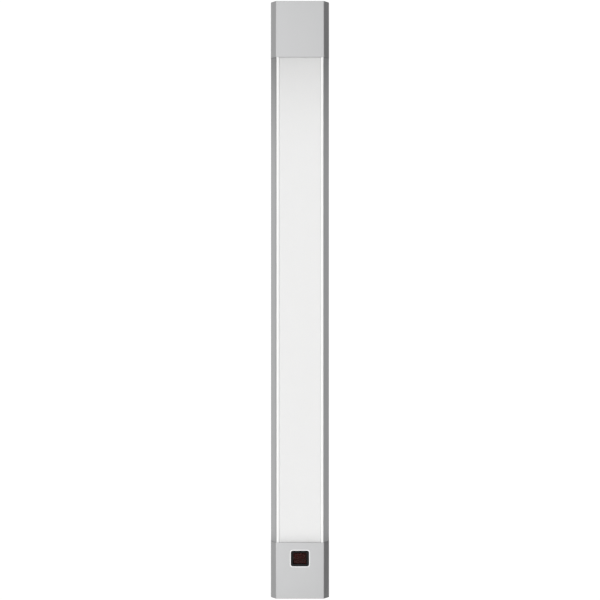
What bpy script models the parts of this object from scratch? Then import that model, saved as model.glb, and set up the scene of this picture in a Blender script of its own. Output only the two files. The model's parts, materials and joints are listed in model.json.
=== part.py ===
"""Linear LED furniture light with a touch-free hand switch.

X runs across the lamp, Z along it and Y is its depth. The rear mounting plane is Y = 0 and the
light leaves towards -Y. Helpers take millimetres: x across, d forward from the rear plane, z along.
"""

import math

import bmesh
import bpy

MM = 0.001
GAP = 0.3

# Overall size
LENGTH = 575.0
CAP_LENGTH = 54.0
END_Z = LENGTH / 2
SEAM_Z = END_Z - CAP_LENGTH
PROFILE_Z = SEAM_Z - GAP

# Extruded housing section
HALF_WIDTH = 28.0
SIDE_DEPTH = 15.0
FRONT_HALF = 23.0
HOUSING_DEPTH = 21.7
WALL = 1.5
LIP_INNER_DEPTH = 19.2
KNEE_DEPTH = 14.5
SLOT_MOUTH = 6.3
SLOT_HALF = 10.2
SLOT_ROOF = 5.2
RIB = 1.4
SHELF = (9.8, 11.2)
PORT_X = 20.0
PORT_D = 5.65
PORT_RADIUS = 3.0
PORT_BORE = 1.5
PORT_WEB = 0.6
GUIDE = (11.3, 12.5)
GUIDE_LIP = 10.4

# Diffuser section
PANEL = (19.6, 21.1)
RIB_INNER = 20.0
RIB_TOP = 21.7
LEG = (21.4, 22.7)
FOOT_DEPTH = SHELF[1] + GAP

# End caps and their bases
CAP_HALF = 28.2
CAP_SIDE = 15.1
CAP_FRONT_HALF = 22.9
CAP_DEPTH = 22.0
CAP_WALL = 2.0
CAP_END_WALL = 3.0
CAP_EDGE = 0.5
CAP_CORNER = 0.9
CAP_REAR = 0.2
FLOOR = 1.8
FLANGE = 2.0
BASE_END = END_Z - CAP_END_WALL - GAP
SCREW_D = 8.0
BOSS_HALF = 5.0
BOSS_LENGTH = 6.0
BOSS_TOP = 12.0
LEAD_X = -14.3

# Light board
LED_BOARD = (11.5, 13.1)
LED_BOARD_HALF = 11.0
LED_BOARD_Z = (0.4, 231.4)
LED_COUNT = 24
LED_SIZE = (3.5, 2.8, 0.8)

# Hand sensor, measured from the middle of the lamp
WINDOW_Z = 248.8
BEZEL = (16.9, 14.4)
BEZEL_FRAME = 2.0
SENSOR_BOARD = (9.5, 11.1)
EYE_X = 2.95

# Driver and terminals, measured from the middle of the lamp
DRIVER_BOARD = (5.2, 6.8)
DRIVER_Z = (240.5, 261.0)
TERMINAL_X = (-23.0, -5.0)
TERMINAL_Z = (263.25, 277.25)
POLES_Z = (266.75, 273.75)
BUTTON_X = -9.2
CORD_Z = 269.8
GROMMET_X = 15.0

# Mounting clips
CLIP_Z = 150.0
CLIP_LENGTH = 30.0
CLIP_HALF = 5.9

TURNS = {
    "+Z": (0.0, 0.0, 0.0),
    "-Z": (math.pi, 0.0, 0.0),
    "-Y": (math.pi / 2, 0.0, 0.0),
    "+X": (0.0, math.pi / 2, 0.0),
}

for old in list(bpy.data.objects):
    bpy.data.objects.remove(old, do_unlink=True)


def new_collection(name):
    made = bpy.data.collections.new(name)
    bpy.context.scene.collection.children.link(made)
    return made


PARTS = new_collection("led_light_bar")
CUTTERS = new_collection("cutters")


# ---------------------------------------------------------------- helpers


def move_to(obj, collection):
    for held in list(obj.users_collection):
        held.objects.unlink(obj)
    collection.objects.link(obj)


def part(obj, name, colour, roughness=0.5, metallic=0.0):
    """File a finished piece under its name, with a material of its own."""
    finish = bpy.data.materials.new(name)
    finish.use_nodes = True
    shader = finish.node_tree.nodes["Principled BSDF"]
    shader.inputs["Base Color"].default_value = (*colour, 1.0)
    shader.inputs["Roughness"].default_value = roughness
    shader.inputs["Metallic"].default_value = metallic
    finish.diffuse_color = (*colour, 1.0)
    obj.name = name
    obj.data.name = name
    obj.data.materials.clear()
    obj.data.materials.append(finish)
    move_to(obj, PARTS)
    return obj


def boolean(target, tools, operation):
    for tool in tools:
        tool.name = f"{operation.lower()}_{tool.name}"
        tool.hide_render = True
        tool.display_type = "WIRE"
        move_to(tool, CUTTERS)
        step = target.modifiers.new(operation.title(), "BOOLEAN")
        step.operation = operation
        step.solver = "EXACT"
        step.object = tool
    return target


def cut(target, *tools):
    return boolean(target, tools, "DIFFERENCE")


def add(target, *tools):
    return boolean(target, tools, "UNION")


def settle(obj):
    """Replace a curve or a modified object by its plain welded mesh."""
    bpy.context.view_layer.update()
    graph = bpy.context.evaluated_depsgraph_get()
    mesh = bpy.data.meshes.new_from_object(obj.evaluated_get(graph))
    work = bmesh.new()
    work.from_mesh(mesh)
    bmesh.ops.remove_doubles(work, verts=work.verts, dist=0.000002)
    bmesh.ops.recalc_face_normals(work, faces=work.faces)
    work.to_mesh(mesh)
    work.free()
    made = bpy.data.objects.new("plain_" + obj.name, mesh)
    made.location = obj.location
    made.rotation_euler = obj.rotation_euler
    bpy.context.scene.collection.objects.link(made)
    bpy.data.objects.remove(obj, do_unlink=True)
    return made


def gather(pieces):
    """Join loose solids into one object, to cut or add them in one step."""
    bpy.ops.object.select_all(action="DESELECT")
    for piece in pieces:
        piece.select_set(True)
    bpy.context.view_layer.objects.active = pieces[0]
    bpy.ops.object.join()
    return pieces[0]


def soften(obj, width, segments=2):
    """Round the edges of a plain solid."""
    bevel = obj.modifiers.new("Edges", "BEVEL")
    bevel.width = width * MM
    bevel.segments = segments
    bevel.limit_method = "ANGLE"
    bevel.angle_limit = math.radians(40)
    return obj


def block(x, d, z):
    """A box between limits across, forward and along."""
    limits = (sorted(x), sorted(d), sorted(z))
    middle = [sum(pair) / 2 * MM for pair in limits]
    bpy.ops.mesh.primitive_cube_add(size=1.0, location=(middle[0], -middle[1], middle[2]))
    obj = bpy.context.object
    obj.scale = [(high - low) * MM for low, high in limits]
    bpy.ops.object.transform_apply(location=False, rotation=False, scale=True)
    obj.name = "block"
    return obj


def rod(u, v, radius, low, high, along, sides=16):
    """A cylinder. Its axis passes (x, d) along Z, (x, z) along Y or (d, z) along X."""
    middle = (low + high) / 2
    centre = {"Z": (u, -v, middle), "Y": (u, -middle, v), "X": (middle, -u, v)}[along]
    turn = {"Z": "+Z", "Y": "-Y", "X": "+X"}[along]
    bpy.ops.mesh.primitive_cylinder_add(
        vertices=sides,
        radius=radius * MM,
        depth=abs(high - low) * MM,
        location=[value * MM for value in centre],
        rotation=TURNS[turn],
    )
    obj = bpy.context.object
    obj.name = "rod"
    return obj


def prism(loops, low, high, along="Z"):
    """Extrude flat outlines: (x, d) points along Z, or (x, z) points along the depth."""
    data = bpy.data.curves.new("prism", "CURVE")
    data.dimensions = "2D"
    data.fill_mode = "BOTH"
    data.extrude = abs(high - low) / 2 * MM
    flip = -1 if along == "Z" else 1
    for loop in loops:
        spline = data.splines.new("POLY")
        spline.points.add(len(loop) - 1)
        spline.use_cyclic_u = True
        for point, (u, v) in zip(spline.points, loop):
            point.co = (u * MM, flip * v * MM, 0.0, 1.0)
    obj = bpy.data.objects.new("prism", data)
    bpy.context.scene.collection.objects.link(obj)
    middle = (low + high) / 2 * MM
    obj.location = (0.0, 0.0, middle) if along == "Z" else (0.0, -middle, 0.0)
    obj.rotation_euler = TURNS["+Z" if along == "Z" else "-Y"]
    return settle(obj)


def turned(profile, x, d, z, along, steps=16):
    """Revolve (radius, height) points, which start and end on the axis."""
    mesh = bpy.data.meshes.new("turned")
    points = [(radius * MM, 0.0, height * MM) for radius, height in profile]
    mesh.from_pydata(points, [(i, i + 1) for i in range(len(points) - 1)], [])
    obj = bpy.data.objects.new("turned", mesh)
    bpy.context.scene.collection.objects.link(obj)
    screw = obj.modifiers.new("Turn", "SCREW")
    screw.steps = steps
    screw.render_steps = steps
    screw.use_merge_vertices = True
    screw.merge_threshold = 0.00001
    obj.location = (x * MM, -d * MM, z * MM)
    obj.rotation_euler = TURNS[along]
    return settle(obj)


def eased(points, radius, steps=3):
    """Replace each corner of a path by a short curve."""
    path = [points[0]]
    for before, corner, after in zip(points, points[1:], points[2:]):
        ends = []
        for other in (before, after):
            span = math.dist(corner, other)
            share = min(radius, span * 0.45) / span
            ends.append([c + (o - c) * share for c, o in zip(corner, other)])
        for i in range(steps + 1):
            t = i / steps
            weights = ((1 - t) ** 2, 2 * t * (1 - t), t * t)
            legs = (ends[0], corner, ends[1])
            path.append([sum(w * leg[k] for w, leg in zip(weights, legs)) for k in range(3)])
    path.append(points[-1])
    return path


def wire(points, radius, bend=2.5):
    """A round lead through (x, d, z) points."""
    path = eased(points, bend)
    data = bpy.data.curves.new("wire", "CURVE")
    data.dimensions = "3D"
    data.bevel_depth = radius * MM
    data.bevel_resolution = 2
    data.use_fill_caps = True
    spline = data.splines.new("POLY")
    spline.points.add(len(path) - 1)
    for point, (x, d, z) in zip(spline.points, path):
        point.co = (x * MM, -d * MM, z * MM, 1.0)
    obj = bpy.data.objects.new("wire", data)
    bpy.context.scene.collection.objects.link(obj)
    return settle(obj)


def arc(x, d, radius, start, end, steps):
    """Points round a centre, with angles in degrees from +x towards the front."""
    angles = [math.radians(start + (end - start) * i / steps) for i in range(steps + 1)]
    return [(x + radius * math.cos(a), d + radius * math.sin(a)) for a in angles]


def mirrored(half):
    """Close a right-hand half outline with its mirror image."""
    return half + [(-x, d) for x, d in reversed(half)]


def rounded(loop, radius, steps=3):
    """Round the corners of a closed outline, each by a short curve that starts a radius away."""
    points = []
    for i, (u, v) in enumerate(loop):
        ends = []
        for other in (loop[i - 1], loop[(i + 1) % len(loop)]):
            share = radius / math.dist((u, v), other)
            ends.append((u + (other[0] - u) * share, v + (other[1] - v) * share))
        for k in range(steps + 1):
            t = k / steps
            a, b, c = (1 - t) ** 2, 2 * t * (1 - t), t * t
            start, end = ends
            points.append([a * start[j] + b * (u, v)[j] + c * end[j] for j in range(2)])
    return points


def rectangle(x, z, width, height, radius, steps=3):
    """A rectangle with rounded corners about (x, z)."""
    across = width / 2 - radius
    up = height / 2 - radius
    corners = ((across, up, 0), (-across, up, 90), (-across, -up, 180), (across, -up, 270))
    points = []
    for u, v, angle in corners:
        points += arc(x + u, z + v, radius, angle, angle + 90, steps)
    return points


def machine_screw(x, d, z, along, length, shank=1.0, head=2.1, height=1.5):
    """A pan-head screw. (x, d, z) is the middle of the bearing face, and the head points along."""
    tip = -length
    profile = [(0.0, tip), (shank * 0.6, tip), (shank, tip + 0.8), (shank, 0.0), (head, 0.0)]
    profile += [(head, height * 0.6), (head * 0.75, height), (0.0, height)]
    body = turned(profile, x, d, z, along)
    long, short = head * 0.6, 0.3
    slots = []
    for across, up in ((long, short), (short, long)):
        if along == "-Y":
            face = d + height
            slots.append(block((x - across, x + across), (face - 0.8, face + 1.0), (z - up, z + up)))
        else:
            face = z + height if along == "+Z" else z - height
            slots.append(block((x - across, x + across), (d - up, d + up), (face - 0.8, face + 0.8)))
    return cut(body, *slots)


STEEL = (0.62, 0.63, 0.65)
SILVER = (0.60, 0.61, 0.63)
BLACK = (0.015, 0.015, 0.017)
WHITE = (0.85, 0.85, 0.83)
GREEN = (0.02, 0.16, 0.07)
MOULDED = (0.30, 0.31, 0.33)


# ---------------------------------------------------------------- housing and light


def make_housing():
    half = [(SLOT_HALF, SLOT_ROOF), (SLOT_HALF, WALL), (SLOT_MOUTH, WALL), (SLOT_MOUTH, 0.0)]
    half += [(HALF_WIDTH - 0.6, 0.0), (HALF_WIDTH, 0.6), (HALF_WIDTH, SIDE_DEPTH)]
    half += [(FRONT_HALF, HOUSING_DEPTH), (FRONT_HALF, LIP_INNER_DEPTH)]
    half += [(HALF_WIDTH - WALL, KNEE_DEPTH), (HALF_WIDTH - WALL, SHELF[1])]
    half += [(GUIDE[1], SHELF[1]), (GUIDE[1], 14.2), (GUIDE_LIP, 14.2), (GUIDE_LIP, 13.4)]
    half += [(GUIDE[0], 13.4), (GUIDE[0], SHELF[1])]
    rise = math.degrees(math.asin(PORT_WEB / PORT_RADIUS))
    inner_x = SLOT_HALF + RIB
    outer_x = HALF_WIDTH - WALL
    near = [(inner_x, WALL), (PORT_X - PORT_WEB, WALL)]
    near += arc(PORT_X, PORT_D, PORT_RADIUS, 270 - rise, 90 + rise, 6)
    near += [(PORT_X - PORT_WEB, SHELF[0]), (inner_x, SHELF[0])]
    far = [(outer_x, WALL), (outer_x, SHELF[0]), (PORT_X + PORT_WEB, SHELF[0])]
    far += arc(PORT_X, PORT_D, PORT_RADIUS, 90 - rise, rise - 90, 6)
    far += [(PORT_X + PORT_WEB, WALL)]
    bore = arc(PORT_X, PORT_D, PORT_BORE, 0, 330, 11)
    roof = SLOT_ROOF + RIB
    loops = [mirrored(half), mirrored([(SLOT_HALF, roof), (SLOT_HALF, SHELF[0])])]
    for loop in (near, far, bore):
        loops += [loop, [(-x, d) for x, d in loop]]
    part(prism(loops, -PROFILE_Z, PROFILE_Z), "housing_profile", SILVER, 0.35, 0.9)


def make_diffuser():
    half = [(RIB_INNER - 0.35, PANEL[1]), (RIB_INNER - 0.2, PANEL[1] - 0.3)]
    half += [(RIB_INNER, PANEL[1] - 0.3), (RIB_INNER + 0.1, PANEL[1] + 0.2)]
    half += [(RIB_INNER + 0.4, RIB_TOP - 0.08), (RIB_INNER + 1.1, RIB_TOP)]
    half += [(RIB_INNER + 1.9, RIB_TOP), (LEG[1] - 0.3, RIB_TOP - 0.1)]
    half += [(LEG[1], RIB_TOP - 0.4), (LEG[1], 18.5), (LEG[1] + 1.0, 17.5)]
    half += [(LEG[1] + 1.0, 16.9), (LEG[1], 16.1), (LEG[1], FOOT_DEPTH)]
    half += [(LEG[0], FOOT_DEPTH), (LEG[0], PANEL[0] - 0.4), (LEG[0] - 0.4, PANEL[0])]
    part(prism([mirrored(half)], -PROFILE_Z, PROFILE_Z), "diffuser", (0.88, 0.88, 0.87), 0.35)


def make_light_board(name, side):
    low, high = LED_BOARD_Z
    pitch = (high - low) / LED_COUNT
    length, width, height = LED_SIZE
    board = block((-LED_BOARD_HALF, LED_BOARD_HALF), LED_BOARD, (side * low, side * high))
    packages = []
    for i in range(LED_COUNT):
        z = side * (low + pitch * (i + 0.5))
        top = LED_BOARD[1] + height
        across = (-length / 2, length / 2)
        packages.append(block(across, (LED_BOARD[1] - 0.3, top), (z - width / 2, z + width / 2)))
    part(add(board, gather(packages)), name, WHITE, 0.45)


def make_board_link():
    body = block((-4.0, 4.0), (LED_BOARD[1] + GAP, 15.2), (-3.4, 3.4))
    part(soften(body, 0.4), "board_link", WHITE, 0.5)


# ---------------------------------------------------------------- ends


def cap_outline(inset, rear):
    """The cap section, drawn in by a wall thickness and open past the rear plane."""
    slope = math.atan2(CAP_DEPTH - CAP_SIDE, CAP_HALF - CAP_FRONT_HALF)
    knee = CAP_SIDE - inset * math.tan((math.pi / 2 - slope) / 2)
    front = CAP_FRONT_HALF - inset * math.tan(slope / 2)
    side = CAP_HALF - inset
    return mirrored([(side, rear), (side, knee), (front, CAP_DEPTH - inset)])


def make_cap(name, side, colour):
    """One end cap, open to the rear and to the housing. side is +1 at the wiring end."""
    section = rounded(cap_outline(0.0, -3.0), CAP_CORNER)
    shell = soften(prism([section], side * (SEAM_Z - 2.0), side * END_Z), CAP_EDGE)
    inside_end = END_Z - CAP_END_WALL
    trim = block((-40.0, 40.0), (-6.0, CAP_REAR), (side * (SEAM_Z - 5.0), side * (END_Z + 5.0)))
    room = prism([cap_outline(CAP_WALL, -1.0)], side * (SEAM_Z - 1.0), side * inside_end)
    spare = block((-40.0, 40.0), (-6.0, 40.0), (side * (SEAM_Z - 5.0), side * SEAM_Z))
    cut(shell, trim, spare)
    recess = rod(0.0, SCREW_D, 3.3, side * (END_Z - 1.6), side * (END_Z + 1.0), "Z", 24)
    through = rod(0.0, SCREW_D, 1.7, side * (inside_end - 1.0), side * (END_Z - 1.0), "Z")
    cut(shell, room, recess, through)
    if side < 0:
        opening = rectangle(0.0, -WINDOW_Z, BEZEL[0] + 2 * GAP, BEZEL[1] + 2 * GAP, 1.8)
        cut(shell, prism([opening], CAP_DEPTH - 3.0, CAP_DEPTH + 1.0, "Y"))
    return part(shell, name, colour, 0.4, 0.3)


def make_base(name, side, bosses, openings):
    """Floor, flange and screw block of one end.

    A boss is (x, z, radius, top, bore radius or 0), and an opening in the floor (x, z, radius).
    """
    near, far = side * SEAM_Z, side * BASE_END
    reach = CAP_HALF - CAP_WALL - GAP
    base = block((-reach, reach), (0.0, FLOOR), (near, far))
    flange = prism([cap_outline(CAP_WALL + GAP, 0.0)], near, near + side * FLANGE)
    block_end = side * (BASE_END - BOSS_LENGTH)
    post = block((-BOSS_HALF, BOSS_HALF), (FLOOR - 1.0, BOSS_TOP), (block_end, far))
    add(base, flange, post)
    pillars = []
    bores = []
    for x, z, radius, top, bore in bosses:
        pillars.append(rod(x, side * z, radius, FLOOR - 0.8, top, "Y"))
        if bore:
            bores.append(rod(x, side * z, bore, FLOOR + 0.4, top + 1.0, "Y", 12))
    add(base, gather(pillars))
    for x in (-PORT_X, PORT_X):
        bores.append(rod(x, PORT_D, 1.7, near - side, near + side * 4, "Z"))
    bores.append(rod(LEAD_X, PORT_D, 1.7, near - side, near + side * 4, "Z"))
    bores.append(rod(0.0, SCREW_D, 1.3, block_end - side, far + side, "Z", 12))
    for x, z, radius in openings:
        bores.append(rod(x, side * z, radius, -1.0, FLOOR + 1.0, "Y", 24))
    if side > 0:
        bores.append(block((-5.0, 5.0), (13.7, 17.2), (near - 1.0, near + FLANGE + 1.0)))
    cut(base, gather(bores))
    return part(base, name, MOULDED, 0.55)


def make_end_screws(end, side):
    """The screws that hold a base to the housing, and the one that holds its cap."""
    along = "+Z" if side > 0 else "-Z"
    seat = side * (SEAM_Z + FLANGE + 0.2)
    for label, x in (("left", -PORT_X), ("right", PORT_X)):
        screw = machine_screw(x, PORT_D, seat, along, 11.0, 1.2, 2.7, 1.8)
        part(screw, f"{end}_base_screw_{label}", STEEL, 0.3, 1.0)
    seat = side * (END_Z - 1.4)
    screw = machine_screw(0.0, SCREW_D, seat, along, 8.0, 1.0, 2.8, 1.2)
    part(screw, f"{end}_cap_screw", STEEL, 0.3, 1.0)


# ---------------------------------------------------------------- hand sensor


def make_sensor():
    z = -WINDOW_Z
    width, height = BEZEL
    inner = (width - 2 * BEZEL_FRAME, height - 2 * BEZEL_FRAME)
    frame = prism([rectangle(0.0, z, width, height, 1.5)], 19.0, CAP_DEPTH - 0.1, "Y")
    skirt = prism([rectangle(0.0, z, width + 3.0, height + 3.0, 1.5)], 18.4, 19.7, "Y")
    eye = prism([rectangle(0.0, z, *inner, 0.8)], 17.0, CAP_DEPTH + 1.0, "Y")
    part(cut(add(frame, skirt), eye), "sensor_bezel", BLACK, 0.25)

    pane = rectangle(0.0, z, inner[0] - 2 * GAP, inner[1] - 2 * GAP, 0.6)
    part(prism([pane], 19.7, CAP_DEPTH - 0.5, "Y"), "sensor_window", (0.035, 0.008, 0.008), 0.1)

    floor = SENSOR_BOARD[1] + GAP
    half_x, half_z = inner[0] / 2 - GAP, inner[1] / 2 - GAP
    tube = block((-half_x, half_x), (floor, 19.4), (z - half_z, z + half_z))
    wells = []
    for x in (-EYE_X, EYE_X):
        wells.append(block((x - 2.45, x + 2.45), (floor - 1.0, 20.4), (z - 3.9, z + 3.9)))
    part(cut(tube, gather(wells)), "light_baffle", BLACK, 0.7)

    board = block((-15.0, 15.0), SENSOR_BOARD, (-269.0, -239.0))
    chips = [block((2.0, 8.0), (10.8, 12.4), (-263.0, -258.0))]
    chips.append(block((-7.5, -4.5), (10.8, 12.0), (-262.0, -259.8)))
    chips.append(block((-10.5, -8.7), (10.8, 11.9), (-262.0, -258.8)))
    chips.append(block((10.0, 12.6), (10.8, 12.1), (-252.0, -247.0)))
    add(board, gather(chips))
    holes = [rod(x, -266.0, 1.3, 8.5, 12.0, "Y", 12) for x in (-12.0, 12.0)]
    part(cut(board, gather(holes)), "sensor_board", GREEN, 0.4)

    dome = [(0.0, 0.0), (1.9, 0.0), (1.9, 0.8), (1.5, 0.8), (1.5, 3.2), (1.3, 4.0), (0.8, 4.55)]
    emitter = turned(dome + [(0.0, 4.7)], -EYE_X, floor, z, "-Y")
    part(emitter, "ir_emitter", (0.45, 0.50, 0.62), 0.1)

    body = block((EYE_X - 1.9, EYE_X + 1.9), (floor, floor + 1.9), (z - 2.5, z + 2.5))
    lens = [(0.0, 0.0), (1.5, 0.0), (1.5, 1.9), (1.3, 2.4), (0.8, 2.8), (0.0, 3.0)]
    add(body, turned(lens, EYE_X, floor + 0.5, z, "-Y"))
    part(body, "ir_receiver", (0.03, 0.03, 0.04), 0.2)

    plug = block((-15.0, -9.4), (4.6, SENSOR_BOARD[0] - GAP), (-258.0, -252.0))
    part(soften(plug, 0.4), "sensor_connector", WHITE, 0.5)

    for label, x in (("left", -12.0), ("right", 12.0)):
        screw = machine_screw(x, SENSOR_BOARD[1] + 0.2, -266.0, "-Y", 7.0)
        part(screw, f"sensor_board_screw_{label}", STEEL, 0.3, 1.0)


# ---------------------------------------------------------------- driver


def make_driver():
    top = DRIVER_BOARD[1]
    seat = top + GAP
    board = block((-24.0, 24.0), DRIVER_BOARD, DRIVER_Z)
    chips = [block((-2.0, 4.0), (top - 0.3, top + 1.5), (258.9, 260.6))]
    chips.append(block((9.6, 11.2), (top - 0.3, top + 1.1), (244.0, 247.5)))
    chips.append(block((21.6, 23.4), (top - 0.3, top + 1.2), (249.0, 254.0)))
    add(board, gather(chips))
    spots = ((-21.8, 244.0), (21.8, 258.5))
    holes = [rod(x, z, 1.3, 4.0, 8.0, "Y", 12) for x, z in spots]
    part(cut(board, gather(holes)), "driver_board", GREEN, 0.4)

    sheet = block((-18.5, 18.5), (2.4, 2.8), (DRIVER_Z[0] + 0.5, DRIVER_Z[1] - 0.5))
    part(sheet, "driver_insulation", (0.75, 0.74, 0.66), 0.4)

    core = block((-8.0, 8.0), (seat + 1.8, 17.0), (246.2, 255.8))
    winding = block((-5.6, 5.6), (seat + 2.6, 16.0), (243.8, 258.2))
    bobbin = block((-7.0, 7.0), (seat, seat + 2.2), (244.2, 257.8))
    part(add(core, soften(winding, 1.4), bobbin), "transformer", (0.72, 0.58, 0.12), 0.45)

    can = [(0.0, 0.0), (3.7, 0.0), (4.0, 0.4), (4.0, 1.4), (3.75, 1.8), (4.0, 2.2), (4.0, 10.4)]
    bulk = turned(can + [(3.6, 10.8), (0.0, 10.8)], 16.5, seat, 247.5, "-Y", 24)
    part(bulk, "bulk_capacitor", (0.03, 0.035, 0.06), 0.35)

    can = [(0.0, 0.0), (2.9, 0.0), (3.15, 0.3), (3.15, 1.2), (2.95, 1.5), (3.15, 1.8)]
    output = turned(can + [(3.15, 8.7), (2.8, 9.0), (0.0, 9.0)], 14.8, seat, 256.3, "-Y", 20)
    part(output, "output_capacitor", (0.04, 0.08, 0.16), 0.35)

    drum = [(0.0, 0.0), (3.5, 0.0), (3.5, 1.1), (3.1, 1.2), (3.1, 6.8), (3.5, 6.9), (3.5, 8.0)]
    inductor = turned(drum + [(0.0, 8.0)], -15.5, seat, 248.4, "-Y", 20)
    part(inductor, "inductor", (0.42, 0.20, 0.08), 0.4)

    barrel = [(0.0, 0.0), (1.8, 0.0), (1.8, 1.8), (1.55, 1.8), (1.55, 8.2), (1.8, 8.2)]
    fuse = turned(barrel + [(1.8, 10.0), (0.0, 10.0)], -21.0, seat + 1.8, 256.0, "+X")
    part(fuse, "fuse", (0.55, 0.50, 0.42), 0.3)

    for label, (x, z) in zip(("left", "right"), spots):
        screw = machine_screw(x, top + 0.2, z, "-Y", 4.4, head=2.0)
        part(screw, f"driver_screw_{label}", STEEL, 0.3, 1.0)


def make_terminals():
    x0, x1 = TERMINAL_X
    body = soften(block((x0, x1), (FLOOR + GAP, 13.1), TERMINAL_Z), 0.5)
    pockets = []
    for z in POLES_Z:
        pockets.append(block((BUTTON_X - 2.8, BUTTON_X + 2.8), (8.0, 14.0), (z - 2.0, z + 2.0)))
        pockets.append(rod(5.6, z, 1.7, x1 - 8.0, x1 + 1.0, "X"))
        pockets.append(rod(-19.0, z, 0.9, 11.0, 14.0, "Y", 12))
    part(cut(body, gather(pockets)), "terminal_block", WHITE, 0.4)

    colours = {"button_live": (0.75, 0.16, 0.04), "button_neutral": (0.05, 0.2, 0.6)}
    for z, (name, colour) in zip(POLES_Z, colours.items()):
        button = block((BUTTON_X - 2.5, BUTTON_X + 2.5), (9.6, 14.6), (z - 1.7, z + 1.7))
        part(soften(button, 0.35), name, colour, 0.4)

    bar = soften(block((-1.5, 4.5), (6.8, 9.4), (261.5, 277.9)), 0.5)
    tools = [rod(3.0, CORD_Z, 5.0, -3.0, 6.0, "X", 24)]
    tools += [rod(1.5, z, 1.35, 6.0, 10.4, "Y", 12) for z in (264.0, 275.6)]
    cut(bar, *tools)
    part(bar, "cord_clamp_bar", (0.10, 0.10, 0.11), 0.5)
    for label, z in (("lower", 264.0), ("upper", 275.6)):
        screw = machine_screw(1.5, 9.6, z, "-Y", 6.8, head=2.0)
        part(screw, f"clamp_screw_{label}", STEEL, 0.3, 1.0)

    ring = [(0.0, 0.7), (3.4, 0.7), (3.7, 0.1), (5.2, 0.1), (5.2, 2.1), (7.0, 2.1), (7.0, 2.9)]
    ring += [(6.6, 3.4), (4.0, 3.4), (3.4, 1.5), (0.0, 1.5)]
    part(turned(ring, GROMMET_X, 0.0, CORD_Z, "-Y", 24), "cable_grommet", BLACK, 0.8)


def make_leads():
    over = DRIVER_BOARD[1] + 0.6
    mains = (("live", -19.0, (0.20, 0.07, 0.03)), ("neutral", -11.0, (0.03, 0.14, 0.5)))
    for label, x, colour in mains:
        path = [(x, 10.5, TERMINAL_Z[0] - GAP), (x, 10.5, 259.9), (x, over, 259.9)]
        part(wire(path, 0.8, 1.6), f"mains_lead_{label}", colour, 0.45)

    poles = (("positive", 3.0, (0.6, 0.02, 0.02)), ("negative", -3.0, BLACK))
    for label, x, colour in poles:
        path = [(x, over, 242.2), (x, 15.4, 242.2), (x, 15.4, 232.4), (x, 14.3, 230.6)]
        part(wire(path + [(x, 14.3, 228.4)], 0.7), f"led_lead_{label}", colour, 0.45)

    path = [(-12.2, 6.9, -251.7), (-12.2, 6.9, -244.0), (LEAD_X, PORT_D, -239.0)]
    path += [(LEAD_X, PORT_D, 235.8), (LEAD_X, 9.3, 238.6), (LEAD_X, 9.3, 240.8)]
    part(wire(path + [(LEAD_X, 8.5, 243.0)], 1.2), "sensor_lead", (0.25, 0.25, 0.26), 0.5)


# ---------------------------------------------------------------- clips


def make_clip(name, side):
    """A spring clip: its plate lies against the furniture and its hooks grip the slot lips."""
    half = [(CLIP_HALF, 0.0), (CLIP_HALF, 1.8), (8.3, 1.8), (8.3, 2.3), (6.2, 4.6), (4.9, 4.6)]
    half += [(4.7, 1.5), (4.4, 1.2)]
    z = side * CLIP_Z
    clip = prism([mirrored(half)], z - CLIP_LENGTH / 2, z + CLIP_LENGTH / 2)
    cut(clip, rod(0.0, z, 2.25, -1.0, 3.0, "Y", 24))
    part(clip, name, STEEL, 0.3, 1.0)


make_housing()
make_diffuser()
make_light_board("led_board_upper", 1)
make_light_board("led_board_lower", -1)
make_board_link()
make_cap("wiring_end_cap", 1, SILVER)
make_cap("sensor_end_cap", -1, SILVER)
make_base(
    "sensor_end_base",
    -1,
    [
        (-12.0, 266.0, 2.7, 9.2, 1.3),
        (12.0, 266.0, 2.7, 9.2, 1.3),
        (-5.0, 241.5, 2.0, 9.2, 0),
        (5.0, 241.5, 2.0, 9.2, 0),
    ],
    [],
)
make_base(
    "wiring_end_base",
    1,
    [
        (-21.8, 244.0, 2.6, 4.9, 1.3),
        (21.8, 258.5, 2.6, 4.9, 1.3),
        (21.5, 243.5, 1.6, 4.9, 0),
        (-21.5, 258.5, 1.6, 4.9, 0),
        (1.5, 264.0, 2.4, 6.5, 1.3),
        (1.5, 275.6, 2.4, 6.5, 1.3),
    ],
    [(GROMMET_X, CORD_Z, 5.5)],
)
make_end_screws("sensor", -1)
make_end_screws("wiring", 1)
make_sensor()
make_driver()
make_terminals()
make_leads()
make_clip("mount_clip_upper", 1)
make_clip("mount_clip_lower", -1)
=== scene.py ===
"""Looks of a linear LED furniture light with a touch-free switch.

Lengths are in millimetres until place() turns them into metres. As in the CAD part, x runs across the
lamp, d forward from the rear mounting plane and z along it towards the wiring end.
"""

import json
import math

import bmesh
import bpy
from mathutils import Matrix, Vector


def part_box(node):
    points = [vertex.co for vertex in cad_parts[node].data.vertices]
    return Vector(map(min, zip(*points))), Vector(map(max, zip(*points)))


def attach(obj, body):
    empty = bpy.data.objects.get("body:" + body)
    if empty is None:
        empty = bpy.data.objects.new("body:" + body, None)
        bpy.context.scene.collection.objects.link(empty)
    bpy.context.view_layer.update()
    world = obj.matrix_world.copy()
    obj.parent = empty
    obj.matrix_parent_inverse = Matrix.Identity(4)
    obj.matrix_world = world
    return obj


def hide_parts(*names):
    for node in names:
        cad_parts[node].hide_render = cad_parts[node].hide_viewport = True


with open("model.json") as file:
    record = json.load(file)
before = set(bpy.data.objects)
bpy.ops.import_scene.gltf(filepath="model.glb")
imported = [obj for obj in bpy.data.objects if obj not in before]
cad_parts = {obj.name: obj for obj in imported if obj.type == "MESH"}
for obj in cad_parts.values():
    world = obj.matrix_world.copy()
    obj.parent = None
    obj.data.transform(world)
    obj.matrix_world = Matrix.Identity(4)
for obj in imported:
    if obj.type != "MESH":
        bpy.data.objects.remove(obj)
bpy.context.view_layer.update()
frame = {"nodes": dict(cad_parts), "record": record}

MM = 0.001
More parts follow.
